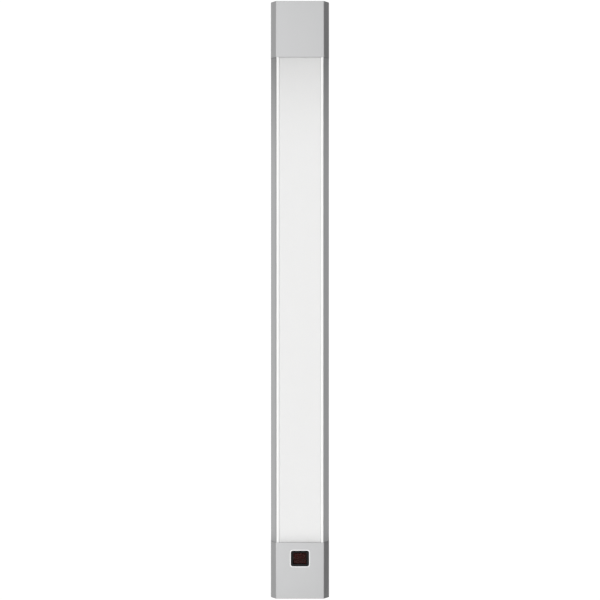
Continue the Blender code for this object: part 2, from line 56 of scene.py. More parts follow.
NODES = frame["nodes"]
SLOT_OF = {entry["node"]: entry["material_slot"] for entry in frame["record"]["subparts"]}
BODY_OF = {node: body for body, nodes in frame["record"]["behaviour"]["bodies"].items() for node in nodes}


def place(x, d, z):
    return Vector((x * MM, -d * MM, z * MM))


def span(node):
    """A node's limits in millimetres: (x0, x1), (d0, d1), (z0, z1)."""
    low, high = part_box(node)
    return (low.x / MM, high.x / MM), (-high.y / MM, -low.y / MM), (low.z / MM, high.z / MM)


# ---------------------------------------------------------------- materials


def link(tree, source, output, target, socket):
    tree.links.new(source.outputs[output], target.inputs[socket])


def ramp(tree, source, output, low, high, start, end, smooth=True):
    """Map low..high to start..end, held beyond both."""
    node = tree.nodes.new("ShaderNodeMapRange")
    node.interpolation_type = "SMOOTHSTEP" if smooth else "LINEAR"
    for socket, value in zip(("From Min", "From Max", "To Min", "To Max"), (low, high, start, end)):
        node.inputs[socket].default_value = value
    link(tree, source, output, node, "Value")
    return node


def add_levels(tree, first, second):
    node = tree.nodes.new("ShaderNodeMath")
    node.operation = "ADD"
    tree.links.new(first, node.inputs[0])
    tree.links.new(second, node.inputs[1])
    return node.outputs["Value"]


def make_finish(
    name,
    colour,
    roughness,
    metallic=0.0,
    stretch=(1.0, 1.0, 1.0),
    scale=900.0,
    bump=0.15,
    depth=0.03,
    vary=0.05,
    rough_vary=0.06,
    blotch=0.0,
    fade=(),
    **sockets,
):
    """A Principled material whose colour, roughness and bump come from one stretched noise.

    Each painted end shade is (start, end, level, steepness): the colour is darkened to level between two
    places along z, as painted shade towards an end.
    """
    material = bpy.data.materials.new(name)
    material.use_nodes = True
    tree = material.node_tree
    shader = tree.nodes["Principled BSDF"]
    shader.inputs["Metallic"].default_value = metallic
    for socket, value in sockets.items():
        shader.inputs[socket.replace("_", " ")].default_value = value
    coords = tree.nodes.new("ShaderNodeTexCoord")
    mapping = tree.nodes.new("ShaderNodeMapping")
    mapping.inputs["Scale"].default_value = stretch
    link(tree, coords, "Object", mapping, "Vector")
    noise = tree.nodes.new("ShaderNodeTexNoise")
    noise.inputs["Scale"].default_value = scale
    noise.inputs["Detail"].default_value = 4.0
    noise.inputs["Roughness"].default_value = 0.6
    link(tree, mapping, "Vector", noise, "Vector")
    tint = tree.nodes.new("ShaderNodeMix")
    tint.data_type = "RGBA"
    tint.inputs["A"].default_value = (*[max(c * (1 - vary), 0) for c in colour], 1)
    tint.inputs["B"].default_value = (*[min(c * (1 + vary), 1) for c in colour], 1)
    link(tree, noise, "Fac", tint, "Factor")
    shades = []
    if blotch:
        cloud = tree.nodes.new("ShaderNodeTexNoise")
        cloud.inputs["Scale"].default_value = 14.0
        cloud.inputs["Detail"].default_value = 3.0
        link(tree, coords, "Object", cloud, "Vector")
        shades.append(ramp(tree, cloud, "Fac", 0.3, 0.7, 1 - blotch, 1.0).outputs["Result"])
    # Painted shade: the colour is darkened towards an end along z.
    for start, end, level, steepness in fade:
        split = tree.nodes.new("ShaderNodeSeparateXYZ")
        link(tree, coords, "Object", split, "Vector")
        rise = ramp(tree, split, "Z", start * MM, end * MM, 0.0, 1.0, smooth=False)
        power = tree.nodes.new("ShaderNodeMath")
        power.operation = "POWER"
        power.inputs[1].default_value = steepness
        link(tree, rise, "Result", power, 0)
        shades.append(ramp(tree, power, "Value", 0.0, 1.0, 1.0, level, smooth=False).outputs["Result"])
    paint = tint.outputs["Result"]
    for shade in shades:
        scaled = tree.nodes.new("ShaderNodeVectorMath")
        scaled.operation = "SCALE"
        tree.links.new(paint, scaled.inputs["Vector"])
        tree.links.new(shade, scaled.inputs["Scale"])
        paint = scaled.outputs["Vector"]
    tree.links.new(paint, shader.inputs["Base Color"])
    rough = tree.nodes.new("ShaderNodeMapRange")
    rough.inputs["From Min"].default_value = 0.3
    rough.inputs["From Max"].default_value = 0.7
    rough.inputs["To Min"].default_value = max(roughness - rough_vary, 0.02)
    rough.inputs["To Max"].default_value = min(roughness + rough_vary, 1.0)
    link(tree, noise, "Fac", rough, "Value")
    link(tree, rough, "Result", shader, "Roughness")
    if bump:
        relief = tree.nodes.new("ShaderNodeBump")
        relief.inputs["Strength"].default_value = bump
        relief.inputs["Distance"].default_value = depth * MM
        link(tree, noise, "Fac", relief, "Height")
        link(tree, relief, "Normal", shader, "Normal")
    return material


ALONG = (1.0, 1.0, 0.004)
# Painted shade: the diffuser, its ribs and the housing are darkened towards both ends, standing in for
# light falling off near the caps.
OPAL_PAINTED_END_SHADE = ((110, 233, 0.80, 2.7), (-212, -233, 0.80, 4.0))
RIB_PAINTED_END_SHADE = ((110, 233, 0.93, 2.7), (-212, -233, 0.93, 4.0))
ALUMINIUM_PAINTED_END_SHADE = ((100, 233, 0.66, 1.9), (-212, -233, 0.85, 3.0))
MATERIALS = {}


def add_finish(name, *values, **settings):
    MATERIALS[name] = make_finish(name, *values, **settings)


# The outside
add_finish(
    "anodised_aluminium",
    (0.555, 0.558, 0.563),
    0.78,
    0.85,
    stretch=ALONG,
    scale=1100,
    bump=0.9,
    depth=0.05,
    fade=ALUMINIUM_PAINTED_END_SHADE,
)
MOULDED = {"scale": 2600, "bump": 0.12, "depth": 0.02, "blotch": 0.02}
add_finish("silver_abs", (0.507, 0.509, 0.513), 0.34, 0.85, **MOULDED)
OPAL = {"Subsurface_Scale": 0.004, "Subsurface_Radius": (1.0, 1.0, 1.0), "IOR": 1.49}
add_finish(
    "opal_acrylic",
    (0.677, 0.677, 0.674),
    0.32,
    scale=1500,
    bump=0.06,
    depth=0.015,
    vary=0.008,
    fade=OPAL_PAINTED_END_SHADE,
    Subsurface_Weight=0.25,
    **OPAL,
)
# Painted highlight: the ribs' colour is lighter than the panel's to stand in for the sheen on their
# rounded glossy faces; their lower roughness is their real finish.
add_finish(
    "opal_rib",
    (0.775, 0.775, 0.77),
    0.12,
    bump=0.03,
    depth=0.01,
    vary=0.005,
    fade=RIB_PAINTED_END_SHADE,
    Subsurface_Weight=0.2,
    **OPAL,
)
GRAINED = {"scale": 1400, "bump": 0.35, "depth": 0.05, "vary": 0.08, "blotch": 0.06}
add_finish("moulded_grey", (0.20, 0.205, 0.215), 0.5, **GRAINED)
add_finish("spring_steel", (0.58, 0.59, 0.61), 0.28, 1.0, stretch=ALONG, bump=0.25, depth=0.02, vary=0.08)
WORN = {"scale": 1600, "bump": 0.3, "depth": 0.02, "vary": 0.1, "rough_vary": 0.1}
add_finish("screw_steel", (0.62, 0.63, 0.65), 0.26, 1.0, **WORN)

# The hand sensor
add_finish("black_gloss", (0.008, 0.008, 0.009), 0.2, scale=800, bump=0.04, vary=0.2, IOR=1.25)
# Painted highlight: the silver paint is made much lighter on the lip round the window, standing in for
# the light its rounded edge catches.
add_finish("highlit_window_lip", (0.82, 0.82, 0.83), 0.34, 0.85, scale=2600, bump=0.05, vary=0.02)
TINTED = {"bump": 0.02, "vary": 0.1, "rough_vary": 0.02, "Transmission_Weight": 0.97, "IOR": 1.2}
add_finish("ir_red_acrylic", (0.34, 0.06, 0.05), 0.05, scale=300, **TINTED)
CLEAR = {"bump": 0.0, "rough_vary": 0.03, "Transmission_Weight": 0.8, "IOR": 1.52}
add_finish("emitter_epoxy", (0.62, 0.68, 0.85), 0.06, scale=500, **CLEAR)
add_finish("receiver_epoxy", (0.02, 0.02, 0.028), 0.12, scale=700, bump=0.03, vary=0.2)

# Boards and what is on them
add_finish("white_board", (0.80, 0.80, 0.78), 0.38, scale=700, vary=0.02)
add_finish("green_board", (0.012, 0.115, 0.045), 0.3, scale=1300, bump=0.25, vary=0.18, Coat_Weight=0.3)
add_finish("track_green", (0.045, 0.27, 0.10), 0.28, scale=1300, vary=0.12)
add_finish("tinned_metal", (0.70, 0.70, 0.71), 0.28, 1.0, scale=1300, bump=0.2, depth=0.02, vary=0.06)
add_finish("black_matte", (0.012, 0.012, 0.013), 0.7, scale=1200, bump=0.2, vary=0.2)
add_finish("ceramic_tan", (0.36, 0.24, 0.13), 0.4, vary=0.08)
add_finish("phosphor", (0.82, 0.60, 0.08), 0.35, bump=0.05, vary=0.04)
add_finish("ferrite", (0.035, 0.035, 0.038), 0.45, scale=1800, bump=0.3, vary=0.15)
add_finish("transformer_tape", (0.72, 0.52, 0.07), 0.25, scale=600, bump=0.1, vary=0.07, Coat_Weight=0.3)
add_finish("capacitor_sleeve", (0.02, 0.025, 0.05), 0.28, scale=500, bump=0.08, vary=0.15)
add_finish("sleeve_stripe", (0.42, 0.44, 0.48), 0.3, scale=500, bump=0.06)
add_finish("copper_winding", (0.50, 0.19, 0.07), 0.25, 0.7, scale=600, bump=0.1, vary=0.12)
add_finish("fuse_ceramic", (0.55, 0.49, 0.38), 0.4, vary=0.06)
add_finish("insulation_film", (0.70, 0.67, 0.52), 0.35, scale=400, vary=0.04)

# Mouldings and leads
add_finish("white_nylon", (0.72, 0.71, 0.66), 0.42, scale=1100, bump=0.2, vary=0.03, blotch=0.04)
add_finish("red_nylon", (0.68, 0.09, 0.02), 0.38, scale=1100, bump=0.2)
add_finish("blue_nylon", (0.02, 0.11, 0.50), 0.38, scale=1100, bump=0.2)
add_finish("black_nylon", (0.03, 0.03, 0.033), 0.5, scale=1100, bump=0.3, vary=0.15)
add_finish("grommet_rubber", (0.018, 0.018, 0.019), 0.72, scale=1500, bump=0.3, vary=0.2)
add_finish("wire_brown", (0.12, 0.035, 0.015), 0.35, scale=700, bump=0.1, vary=0.1)
add_finish("wire_blue", (0.015, 0.08, 0.40), 0.35, scale=700, bump=0.1, vary=0.1)
add_finish("wire_red", (0.50, 0.012, 0.012), 0.35, scale=700, bump=0.1, vary=0.1)
add_finish("wire_black", (0.014, 0.014, 0.015), 0.35, scale=700, bump=0.1, vary=0.15)
add_finish("wire_grey", (0.14, 0.14, 0.145), 0.45, scale=700, bump=0.1, vary=0.08)


# ---------------------------------------------------------------- pieces

# The ribs begin this far from the middle line
RIB_START = 19.95
# How far the diffuser and the housing are drawn out at both ends, to close most of the gap to the caps
DIFFUSER_REACH = 0.3
HOUSING_REACH = 0.12


def stand_for(obj, node, replace=True):
    """Move a piece with a node's body, and hide that node unless replace is false."""
    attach(obj, BODY_OF[node])
    if replace:
        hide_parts(node)
    return obj


def smooth_object(name, vertices, faces, material):
    mesh = bpy.data.meshes.new(name)
    mesh.from_pydata(vertices, [], faces)
    mesh.update()
    for polygon in mesh.polygons:
        polygon.use_smooth = True
    mesh.materials.append(material)
    obj = bpy.data.objects.new(name, mesh)
    bpy.context.scene.collection.objects.link(obj)
    return obj


def ease_edges(obj, width, segments=2, angle=30):
    bevel = obj.modifiers.new("Edges", "BEVEL")
    bevel.width = width * MM
    bevel.segments = segments
    bevel.limit_method = "ANGLE"
    bevel.angle_limit = math.radians(angle)
    bevel.harden_normals = True
    return obj


def skin(node, width=0.12, segments=2, angle=30, tool=None):
    """A copy of a CAD node with clean faces and eased edges, less what the tool cuts away."""
    work = bmesh.new()
    work.from_mesh(NODES[node].data)
    bmesh.ops.remove_doubles(work, verts=work.verts, dist=0.000002)
    bmesh.ops.dissolve_limit(work, angle_limit=math.radians(0.5), verts=work.verts, edges=work.edges)
    work.verts.ensure_lookup_table()
    work.verts.index_update()
    vertices = [v.co.copy() for v in work.verts]
    faces = [[v.index for v in face.verts] for face in work.faces]
    work.free()
    obj = smooth_object(node + "_skin", vertices, faces, MATERIALS[SLOT_OF[node]])
    if tool:
        carve(obj, tool)
    ease_edges(obj, width, segments, angle)
    return stand_for(obj, node)


def skin_diffuser():
    """The opal strip: a satin panel between two glossier ribs, run up close to both caps."""
    obj = skin("diffuser", 0.05)
    obj.data.materials.append(MATERIALS["opal_rib"])
    for vertex in obj.data.vertices:
        vertex.co.z += math.copysign(DIFFUSER_REACH * MM, vertex.co.z)
    # The rib faces take the lighter opal_rib colour, a painted highlight.
    for polygon in obj.data.polygons:
        polygon.material_index = int(abs(polygon.center.x) > RIB_START * MM)


def skin_housing():
    obj = skin("housing_profile", 0.15)
    for vertex in obj.data.vertices:
        vertex.co.z += math.copysign(HOUSING_REACH * MM, vertex.co.z)


# ---------------------------------------------------------------- shapes

AXES = {
    "+Z": (Vector((1, 0, 0)), Vector((0, 1, 0)), Vector((0, 0, 1))),
    "-Z": (Vector((1, 0, 0)), Vector((0, -1, 0)), Vector((0, 0, -1))),
    "-Y": (Vector((1, 0, 0)), Vector((0, 0, 1)), Vector((0, -1, 0))),
    "+X": (Vector((0, 1, 0)), Vector((0, 0, 1)), Vector((1, 0, 0))),
}


def middle(pair):
    return (pair[0] + pair[1]) / 2


def eased(points, radius, steps=4):
    """Replace each inner corner of a path by a short curve that starts a radius away."""
    path = [Vector(points[0])]
    for before, corner, after in zip(points, points[1:], points[2:]):
        corner = Vector(corner)
        ends = []
        for other in (Vector(before), Vector(after)):
            away = other - corner
            ends.append(corner + away * min(radius / max(away.length, 1e-6), 0.45))
        for i in range(steps + 1):
            t = i / steps
            path.append(ends[0] * (1 - t) ** 2 + corner * 2 * t * (1 - t) + ends[1] * t * t)
    path.append(Vector(points[-1]))
    return path


def rounded_rectangle(x, z, width, height, radius, steps=6):
    """Points (x, z) round a rectangle with rounded corners."""
    points = []
    for quarter in range(4):
        u = (width / 2 - radius) * (1 if quarter in (0, 3) else -1)
        v = (height / 2 - radius) * (1 if quarter in (0, 1) else -1)
        for i in range(steps + 1):
            angle = math.pi / 2 * (quarter + i / steps)
            points.append((x + u + radius * math.cos(angle), z + v + radius * math.sin(angle)))
    return points


class Build:
    """One piece made of closed solids, each with its own finish. Lengths are in millimetres."""

    def __init__(self):
        self.work = bmesh.new()
        self.finishes = []

    def mark(self, faces, finish):
        if finish not in self.finishes:
            self.finishes.append(finish)
        for face in faces:
            face.material_index = self.finishes.index(finish)

    def box(self, x, d, z, finish, edge=0.12):
        """A box between limits, with rounded edges."""
        made = bmesh.ops.create_cube(self.work, size=1.0)["verts"]
        low, high = place(x[0], d[1], z[0]), place(x[1], d[0], z[1])
        bmesh.ops.scale(self.work, verts=made, vec=high - low)
        bmesh.ops.translate(self.work, verts=made, vec=(low + high) / 2)
        self.mark({face for vertex in made for face in vertex.link_faces}, finish)
        edges = list({line for vertex in made for line in vertex.link_edges})
        bmesh.ops.bevel(
            self.work,
            geom=edges,
            offset=edge * MM,
            segments=2,
            profile=0.5,
            affect="EDGES",
            clamp_overlap=True,
            material=-1,
        )

    def rings(self, loops, finish, around=False):
        """Join equal loops of points in turn. The ends are closed, unless the loops come back round."""
        rows = [[self.work.verts.new(point) for point in loop] for loop in loops]
        faces = []
        pairs = list(zip(rows, rows[1:]))
        if around:
            pairs.append((rows[-1], rows[0]))
        for below, above in pairs:
            for i in range(len(below)):
                faces.append(self.work.faces.new((below[i - 1], below[i], above[i], above[i - 1])))
        if not around:
            faces.append(self.work.faces.new(rows[0]))
            faces.append(self.work.faces.new(list(reversed(rows[-1]))))
        self.mark(faces, finish)
        return faces

    def turn(self, profile, spot, along, finish, steps=40, ease=0.12, stripe=None):
        """Revolve (radius, height) points. A stripe is (finish, from, to) in degrees round the axis."""
        u, v, w = AXES[along]
        loops = []
        rim = [math.tau * i / steps for i in range(steps)]
        for radius, height in eased(profile, ease, 3) if ease else profile:
            level = spot + w * height * MM
            loops.append([level + (u * math.cos(a) + v * math.sin(a)) * radius * MM for a in rim])
        faces = self.rings(loops, finish)
        if stripe:
            tint, start, end = stripe
            columns = range(int(start / 360 * steps), int(end / 360 * steps))
            self.mark([face for i, face in enumerate(faces[:-2]) if i % steps in columns], tint)

    def tube(self, points, radius, finish, bend=1.6, sides=14):
        """A round lead through (x, d, z) points."""
        path = [place(*point) for point in eased(points, bend, 6)]
        side = Vector((0.3, 0.5, 0.81))
        loops = []
        for i, point in enumerate(path):
            ahead = path[min(i + 1, len(path) - 1)] - path[max(i - 1, 0)]
            ahead.normalize()
            side = (side - ahead * side.dot(ahead)).normalized()
            up = ahead.cross(side)
            rim = [math.tau * k / sides for k in range(sides)]
            loops.append([point + (side * math.cos(a) + up * math.sin(a)) * radius * MM for a in rim])
        self.rings(loops, finish)

    def plain(self, name):
        """The object by itself, with smooth faces and crisp corners."""
        bmesh.ops.recalc_face_normals(self.work, faces=self.work.faces[:])
        mesh = bpy.data.meshes.new(name)
        self.work.to_mesh(mesh)
        self.work.free()
        for finish in self.finishes:
            mesh.materials.append(MATERIALS[finish])
        mesh.polygons.foreach_set("use_smooth", [True] * len(mesh.polygons))
        mesh.set_sharp_from_angle(angle=math.radians(50))
        obj = bpy.data.objects.new(name, mesh)
        bpy.context.scene.collection.objects.link(obj)
        return obj

    def done(self, name, node, replace=True):
        obj = even_shading(self.plain(name))
        return stand_for(obj, node, replace)


def even_shading(obj):
    normals = obj.modifiers.new("Normals", "WEIGHTED_NORMAL")
    normals.keep_sharp = True
    return obj


def carve(obj, tool):
    """Cut the solids of a Build out of a piece."""
    knife = tool.plain("knife")
    step = obj.modifiers.new("Carve", "BOOLEAN")
    step.operation = "DIFFERENCE"
    step.solver = "EXACT"
    step.object = knife
    bpy.context.view_layer.update()
    graph = bpy.context.evaluated_depsgraph_get()
    mesh = bpy.data.meshes.new_from_object(obj.evaluated_get(graph))
    obj.modifiers.clear()
    obj.data = mesh
    bpy.data.objects.remove(knife)
    return obj


# ---------------------------------------------------------------- screws

# Shank radius and head height of each kind of screw
SCREWS = {
    "base_screw": (1.2, 1.8),
    "cap_screw": (1.0, 1.2),
    "board_screw": (1.0, 1.5),
    "driver_screw": (1.0, 1.5),
    "clamp_screw": (1.0, 1.5),
}
# As shares of the shank's radius
THREAD_PITCH = 0.72
THREAD_ROOT = 0.76
THREAD_SIDES = 20
# Half the width of one slot of the cross, as a share of the head's radius, and its depth in the head
RECESS_WIDTH = 0.17
RECESS_DEPTH = 0.85


def thread_loops(spot, axes, radius, length):
    """Rings of a shank with a helical thread and a narrowed tip."""
    u, v, w = axes
    pitch = radius * THREAD_PITCH
    root = radius * THREAD_ROOT
    rows = int(length / pitch * 4)
    loops = []
    for k in range(rows + 1):
        height = -length + length * k / rows
        tip = min(1.0, 0.4 + 0.6 * (height + length) / 1.2)
        loop = []
        for i in range(THREAD_SIDES):
            turns = i / THREAD_SIDES
            phase = (height / pitch - turns) % 1.0
            crest = max(0.0, 1 - abs(phase - 0.5) * 3.2) if height < -0.5 else 0.0
            reach = (root + (radius - root) * crest) * tip
            angle = math.tau * turns
            loop.append(spot + ((u * math.cos(angle) + v * math.sin(angle)) * reach + w * height) * MM)
        loops.append(loop)
    return loops


def cut_recess(obj, spot, axes, head, height):
    """Cut a cross recess into a screw's head, one tapered slot after the other."""
    u, v, w = axes
    for first, second in ((u, v), (v, u)):
        loops = []
        for reach, level in ((0.34, height - RECESS_DEPTH), (0.62, height + 0.05), (0.62, height + 0.6)):
            a = first * head * reach * MM
            b = second * head * RECESS_WIDTH * MM
            core = spot + w * level * MM
            loops.append([core + a + b, core - a + b, core - a - b, core + a - b])
        slot = Build()
        slot.rings(loops, "screw_steel")
        carve(obj, slot)


def make_screw(node):
    x, d, z = span(node)
    shank, height = next(size for key, size in SCREWS.items() if key in node)
    head = (x[1] - x[0]) / 2
    spot = [middle(x), middle(d), middle(z)]
    if z[1] - z[0] > d[1] - d[0]:
        along = "+Z" if z[1] > 0 else "-Z"
        spot[2] = z[1] - height if z[1] > 0 else z[0] + height
        length = z[1] - z[0] - height
    else:
        along = "-Y"
        spot[1] = d[1] - height
        length = d[1] - d[0] - height
    spot = place(*spot)
    made = Build()
    dome = [(shank * 0.7, 0.0), (head - 0.06, 0.0), (head, 0.1), (head, height * 0.45)]
    dome += [(head * 0.9, height * 0.78), (head * 0.6, height * 0.96), (0.02, height)]
    made.turn(dome, spot, along, "screw_steel", ease=0.1)
    obj = made.plain(node + "_fine")
    cut_recess(obj, spot, AXES[along], head, height)
    shaft = Build()
    root = spot + AXES[along][2] * 0.05 * MM
    shaft.rings(thread_loops(root, AXES[along], shank, length + 0.05), "screw_steel")
    thread = shaft.plain("thread")
    joined = bmesh.new()
    joined.from_mesh(obj.data)
    joined.from_mesh(thread.data)
    joined.to_mesh(obj.data)
    joined.free()
    bpy.data.objects.remove(thread)
    obj.data.set_sharp_from_angle(angle=math.radians(42))
    stand_for(even_shading(obj), node)


# ---------------------------------------------------------------- boards

BOARD_THICKNESS = 1.6
LED_COUNT = 24
LED_HEIGHT = 0.8
# Heights along the lamp of the two rows of joints where leads meet the driver board
MAINS_ROW = 259.9
OUTPUT_ROW = 242.2


def chip(made, x, z, base, height, legs=4):
    """A black package over the board, with tinned legs along its two longer sides."""
    body = ((x[0] - 0.06, x[1] + 0.06), (base, base + height), (z[0] - 0.06, z[1] + 0.06))
    made.box(*body, "black_matte", 0.14)
    wide = x[1] - x[0] > z[1] - z[0]
    for i in range(legs):
        share = (i + 0.5) / legs
        for side in (0, 1):
            if wide:
                at = x[0] + (x[1] - x[0]) * share
                out = z[side] + (0.28 if side else -0.28)
                limits = ((at - 0.22, at + 0.22), (base, base + 0.3), (out - 0.28, out + 0.28))
            else:
                at = z[0] + (z[1] - z[0]) * share
                out = x[side] + (0.28 if side else -0.28)
                limits = ((out - 0.28, out + 0.28), (base, base + 0.3), (at - 0.22, at + 0.22))
            made.box(*limits, "tinned_metal", 0.08)


def passive(made, x, z, base, along_x=True, finish="black_matte"):
    """A small resistor or capacitor between two solder ends."""
    a, b = (0.62, 0.55) if along_x else (0.55, 0.62)
    made.box((x - a, x + a), (base, base + 0.54), (z - b, z + b), finish, 0.06)
    a, b = (0.24, 0.52) if along_x else (0.52, 0.24)
    for side in (-0.8, 0.8):
        u, v = (x + side, z) if along_x else (x, z + side)
        made.box((u - a, u + a), (base, base + 0.44), (v - b, v + b), "tinned_metal", 0.08)


def track(made, points, base, width=0.7):
    """A copper track under the solder resist, as a slight ridge along straight runs of (x, z) points."""
    half = width / 2
    for i, ((x0, z0), (x1, z1)) in enumerate(zip(points, points[1:])):
        x = (min(x0, x1) - half, max(x0, x1) + half)
        z = (min(z0, z1) - half, max(z0, z1) + half)
        made.box(x, (base - 0.1, base + 0.05 + 0.012 * (i % 2)), z, "track_green", 0.03)


def pad(made, x, z, base, radius=0.75):
    """A solder joint: a low cone round a cut lead."""
    profile = [(radius, 0.0), (radius * 0.75, 0.12), (radius * 0.35, 0.42), (radius * 0.28, 0.62)]
    made.turn(profile, place(x, base, z), "-Y", "tinned_metal", steps=16, ease=0.05)


def make_led_board(node):
    x, d, z = span(node)
    top = d[1] - LED_HEIGHT
    made = Build()
    made.box(x, (d[0], top), z, "white_board", 0.1)
    pitch = (z[1] - z[0]) / LED_COUNT
    for i in range(LED_COUNT):
        at = z[0] + pitch * (i + 0.5)
        made.box((-1.75, 1.75), (top, d[1] - 0.04), (at - 1.4, at + 1.4), "white_nylon", 0.1)
        lens = [(1.12, 0.0), (1.12, 0.06), (0.9, 0.11), (0.5, 0.14)]
        made.turn(lens, place(0.0, d[1] - 0.12, at), "-Y", "phosphor", steps=20, ease=0)
        for u in (-2.15, 2.15):
            joint = ((u - 0.45, u + 0.45), (top - 0.05, top + 0.07), (at - 1.2, at + 1.2))
            made.box(*joint, "tinned_metal", 0.05)
    for i in range(LED_COUNT // 4):
        at = z[0] + pitch * (4 * i + 2)
        passive(made, 7.6, at, top, False)
        passive(made, -7.6, at + 1.2, top, False)
    for u in (-3.0, 3.0):
        for end in z:
            at = end - math.copysign(2.6, end - middle(z))
            end_pad = ((u - 1.0, u + 1.0), (top - 0.05, top + 0.06), (at - 1.5, at + 1.5))
            made.box(*end_pad, "tinned_metal", 0.05)
    made.done(node + "_fine", node)


def make_driver_board():
    top = span("driver_board")[1][0] + BOARD_THICKNESS
    skin("driver_board", 0.08)
    made = Build()
    chip(made, (-2.0, 4.0), (258.9, 260.6), top, 1.55, 5)
    chip(made, (9.6, 11.2), (244.0, 247.5), top, 1.15, 3)
    chip(made, (21.6, 23.4), (249.0, 254.0), top, 1.25, 4)
    for i in range(4):
        passive(made, -10.6, 243.0 + 2.2 * i, top, True, "ceramic_tan" if i % 2 else "black_matte")
    for i in range(3):
        passive(made, 10.4 + 3.0 * i, 241.9, top, True, "black_matte")
        passive(made, 9.9, 250.2 + 2.6 * i, top, False, "ceramic_tan" if i % 2 else "black_matte")
    for points in (
        ((-19.0, 260.2), (-19.0, 257.0), (-22.6, 257.0), (-22.6, 252.0), (-18.0, 252.0)),
        ((-11.0, 260.2), (-11.0, 253.0), (-8.8, 253.0)),
        ((-12.5, 246.0), (-9.0, 246.0), (-9.0, 250.0)),
        ((9.0, 249.0), (12.0, 249.0), (12.0, 245.0)),
        ((3.0, OUTPUT_ROW), (8.0, OUTPUT_ROW), (8.0, 244.6)),
        ((-3.0, OUTPUT_ROW), (-7.6, OUTPUT_ROW), (-7.6, 244.2)),
        ((19.0, 256.5), (22.8, 256.5), (22.8, 250.0)),
        ((22.8, 246.5), (22.8, 242.0), (17.0, 242.0)),
    ):
        track(made, points, top)
    joints = [(-19.0, MAINS_ROW), (-11.0, MAINS_ROW), (3.0, OUTPUT_ROW), (-3.0, OUTPUT_ROW)]
    joints += [(-22.2, 256.0), (-9.8, 256.0)]
    for u, v in joints:
        pad(made, u, v, top)
    made.done("driver_parts", "driver_board", replace=False)


def make_sensor_board():
    top = span("sensor_board")[1][0] + BOARD_THICKNESS
    skin("sensor_board", 0.08)
    made = Build()
    chip(made, (2.0, 8.0), (-263.0, -258.0), top, 1.35, 7)
    chip(made, (-7.5, -4.5), (-262.0, -259.8), top, 0.95, 3)
    chip(made, (-10.5, -8.7), (-262.0, -258.8), top, 0.85, 2)
    chip(made, (10.0, 12.6), (-252.0, -247.0), top, 1.05, 3)
    for i in range(5):
        passive(made, -9.5 + 2.9 * i, -266.6, top, False, "ceramic_tan" if i % 2 else "black_matte")
        passive(made, 11.4, -262.0 + 2.4 * i, top, True, "ceramic_tan" if i == 2 else "black_matte")
    for i in range(4):
        pad(made, -13.4 + 1.1 * i, -254.8, top, 0.42)
    for points in (
        ((-12.9, -254.8), (-12.9, -257.5), (-9.6, -257.5)),
        ((-6.0, -259.0), (-6.0, -256.8), (3.0, -256.8), (3.0, -257.4)),
        ((9.2, -259.0), (10.0, -259.0), (10.0, -253.6)),
        ((-3.0, -241.6), (9.0, -241.6), (9.0, -246.0)),
    ):
        track(made, points, top, 0.45)
    made.done("sensor_parts", "sensor_board", replace=False)


# ---------------------------------------------------------------- driver parts


def make_transformer():
    x, d, z = span("transformer")
    at = middle(z)
    made = Build()
    made.box(x, (d[0] + 1.8, d[1]), (at - 4.8, at + 4.8), "ferrite", 0.35)
    band = ((x[0] - 0.05, x[1] + 0.05), (d[0] + 1.9, d[1] + 0.05), (at - 1.7, at + 1.7))
    made.box(*band, "transformer_tape", 0.35)
    winding = ((x[0] + 2.4, x[1] - 2.4), (d[0] + 2.4, d[1] - 1.0), (z[0] + 0.5, z[1] - 0.5))
    made.box(*winding, "transformer_tape", 1.3)
    bobbin = ((x[0] + 1.0, x[1] - 1.0), (d[0], d[0] + 2.2), (z[0] + 0.4, z[1] - 0.4))
    made.box(*bobbin, "black_nylon", 0.2)
    for end in (z[0], z[1] - 0.7):
        made.box((x[0] + 1.9, x[1] - 1.9), (d[0] + 1.0, d[1] - 0.5), (end, end + 0.7), "black_nylon", 0.2)
    for end in (z[0] + 0.9, z[1] - 0.9):
        for i in range(4):
            spot = place(middle(x) - 4.8 + 3.2 * i, d[0] - 0.25, end)
            made.turn([(0.32, 0.0), (0.32, 1.2)], spot, "-Y", "tinned_metal", steps=12, ease=0)
    made.done("transformer_fine", "transformer")


def make_capacitor(node, turn_to):
    x, d, z = span(node)
    radius, height = (x[1] - x[0]) / 2, d[1] - d[0]
    spot = place(middle(x), d[0], middle(z))
    sleeve = [(radius * 0.5, 0.0), (radius * 0.93, 0.0), (radius, 0.4), (radius, 1.2)]
    sleeve += [(radius * 0.93, 1.6), (radius, 2.0), (radius, height - 0.2), (radius - 0.25, height)]
    sleeve += [(radius - 0.75, height), (radius - 0.8, height - 0.2)]
    made = Build()
    stripe = ("sleeve_stripe", turn_to, turn_to + 55)
    made.turn(sleeve, spot, "-Y", "capacitor_sleeve", ease=0.16, stripe=stripe)
    lid = [(radius - 0.7, height - 1.0), (radius - 0.7, height - 0.14), (radius * 0.4, height - 0.1)]
    made.turn(lid, spot, "-Y", "tinned_metal", ease=0.05)
    reach = radius * 0.55
    for a, b in ((reach, 0.1), (0.1, reach)):
        level = (d[1] - 0.12, d[1] - 0.06)
        made.box((middle(x) - a, middle(x) + a), level, (middle(z) - b, middle(z) + b), "ferrite", 0.02)
    made.done(node + "_fine", node)


